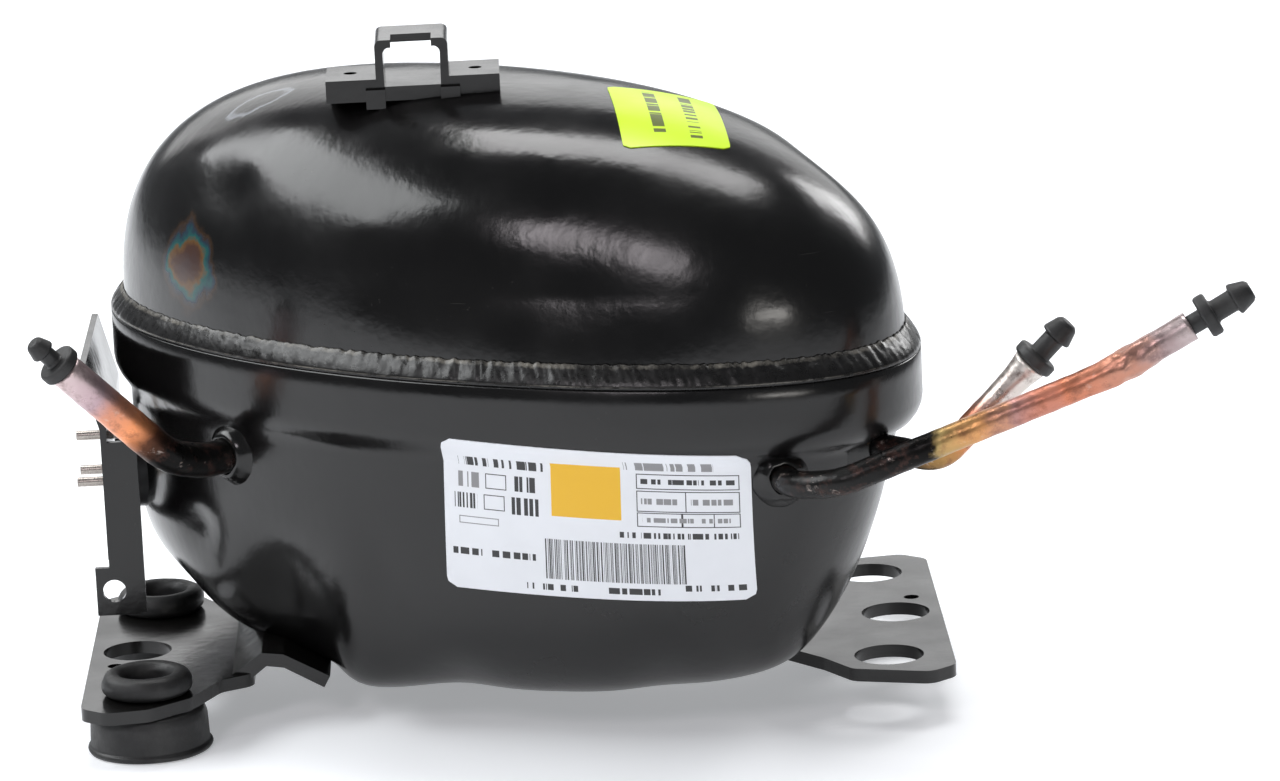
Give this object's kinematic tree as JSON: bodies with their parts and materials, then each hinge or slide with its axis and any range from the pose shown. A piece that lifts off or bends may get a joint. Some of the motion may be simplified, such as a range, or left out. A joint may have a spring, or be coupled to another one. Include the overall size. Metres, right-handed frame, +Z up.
{
  "type": "hermetic reciprocating compressor",
  "caption": "Sealed refrigeration compressor: black two-part shell with seam weld, capped copper stubs, base plates with grommets, and a spring-mounted motor and piston pump inside.",
  "frame": {"origin": "centre of the mounting hole pattern, on the underside plane of the two mounting plates", "axes": "+X along the length, away from the electrical terminal; +Z up; -Y is the side with the label"},
  "size_m": [0.2707, 0.1709, 0.1579],
  "materials": {
    "shell_paint": "gloss black enamel",
    "plate_paint": "gloss black enamel",
    "bead_paint": "enamel over weld bead",
    "bracket_paint": "gloss black enamel",
    "rubber_black": "matte",
    "copper": "heat-tinted copper",
    "weld_collar": "enamel over weld",
    "label_white": "satin",
    "sticker_yellow": "fluorescent",
    "terminal_steel": "satin",
    "pin_steel": "plated",
    "glass_bead": "fused",
    "cast_iron": "machined and cast",
    "ground_steel": "ground",
    "spring_steel": "drawn",
    "lamination": "stacked laminations",
    "magnet": "sintered",
    "winding": "enamelled wire",
    "bobbin_plastic": "moulded",
    "muffler_plastic": "moulded",
    "head_aluminium": "cast",
    "gasket": "fibre sheet",
    "wire_sleeve": "sleeved"
  },
  "bodies": {
    "housing": {"upper_shell": "shell_paint", "lower_shell": "shell_paint", "seam_weld_bead": "bead_paint", "mounting_plate_left": "plate_paint", "mounting_plate_right": "plate_paint", "grommet_front_left": "rubber_black", "grommet_rear_left": "rubber_black", "top_bracket_base": "bracket_paint", "top_bracket_clip": "bracket_paint", "terminal_bracket": "bracket_paint", "terminal_body": "terminal_steel", "terminal_glass": "glass_bead", "terminal_pins": "pin_steel", "suction_tube": "copper", "discharge_tube": "copper", "process_tube": "copper", "suction_collar": "weld_collar", "discharge_collar": "weld_collar", "process_collar": "weld_collar", "rating_label": "label_white", "inspection_sticker": "sticker_yellow", "spring_seats": "spring_steel", "suspension_springs": "spring_steel", "discharge_loop": "copper", "lead_connector": "bobbin_plastic", "lead_wires": "wire_sleeve"},
    "pump": {"crankcase": "cast_iron", "head_gasket": "gasket", "valve_plate": "ground_steel", "reed_retainer": "spring_steel", "cylinder_head": "head_aluminium", "head_bolts": "spring_steel", "suction_muffler": "muffler_plastic", "discharge_muffler_cover": "spring_steel", "stator_core": "lamination", "stator_bobbins": "bobbin_plastic", "stator_coils": "winding", "stator_bolts": "spring_steel", "spring_caps": "bobbin_plastic", "thrust_washer": "ground_steel"},
    "crank": {"crankshaft": "ground_steel", "counterweight": "cast_iron", "rotor_core": "lamination", "rotor_magnets": "magnet", "oil_pickup_tube": "ground_steel"},
    "gallery_plug": {"oil_gallery_plug": "ground_steel"},
    "slider": {"slide_block": "ground_steel"},
    "piston": {"piston_yoke": "ground_steel"},
    "suction_valve": {"suction_reed": "spring_steel"},
    "discharge_valve": {"discharge_reed": "spring_steel"},
    "suction_plug": {"suction_plug": "rubber_black"},
    "discharge_plug": {"discharge_plug": "rubber_black"},
    "process_plug": {"process_plug": "rubber_black"}
  },
  "joints": [
    {"name": "suspension_bounce", "type": "slide", "parent": "housing", "child": "pump", "axis": [0, 0, 1], "range_m": [-0.002, 0.002], "stiffness_N_per_m": 14000, "springref_m": 0.00137, "deforming": ["suspension_springs", "discharge_loop", "lead_wires"]},
    {"name": "crank_spin", "type": "hinge", "parent": "pump", "child": "crank", "pos_m": [-0.01724, 0.0123, 0.045], "axis": [0, 0, 1], "continuous": true},
    {"name": "gallery_plug_turn", "type": "hinge", "parent": "crank", "child": "gallery_plug", "pos_m": [-0.01309, 0.00951, 0.0213], "axis": [0, 0, 1], "continuous": true},
    {"name": "piston_stroke", "type": "hinge", "parent": "gallery_plug", "child": "piston", "pos_m": [-0.00895, 0.00671, 0.09], "axis": [0, 0, 1], "continuous": true},
    {"name": "slide_block_turn", "type": "hinge", "parent": "crank", "child": "slider", "pos_m": [-0.00895, 0.00671, 0.09], "axis": [0, 0, 1], "continuous": true},
    {"name": "suction_reed_lift", "type": "hinge", "parent": "pump", "child": "suction_valve", "pos_m": [0.02855, -0.02461, 0.1018], "axis": [0.5592, 0.829, 0], "range_deg": [0, 2], "stiffness_Nm_per_rad": 0.02},
    {"name": "discharge_reed_lift", "type": "hinge", "parent": "pump", "child": "discharge_valve", "pos_m": [0.03663, -0.018, 0.081], "axis": [0.5592, 0.829, 0], "range_deg": [0, 3], "stiffness_Nm_per_rad": 0.02},
    {"name": "suction_plug_pull", "type": "slide", "parent": "housing", "child": "suction_plug", "axis": [-0.6454, -0.2702, 0.7145], "range_m": [0, 0.02]},
    {"name": "discharge_plug_pull", "type": "slide", "parent": "housing", "child": "discharge_plug", "axis": [0.8746, 0, 0.4848], "range_m": [0, 0.02]},
    {"name": "process_plug_pull", "type": "slide", "parent": "housing", "child": "process_plug", "axis": [0.7, -0.0239, 0.7137], "range_m": [0, 0.02]}
  ],
  "couplings": [
    {"joint": "gallery_plug_turn", "follows": "crank_spin", "ratio": -2},
    {"joint": "piston_stroke", "follows": "crank_spin", "ratio": 1},
    {"joint": "slide_block_turn", "follows": "crank_spin", "ratio": -1}
  ]
}
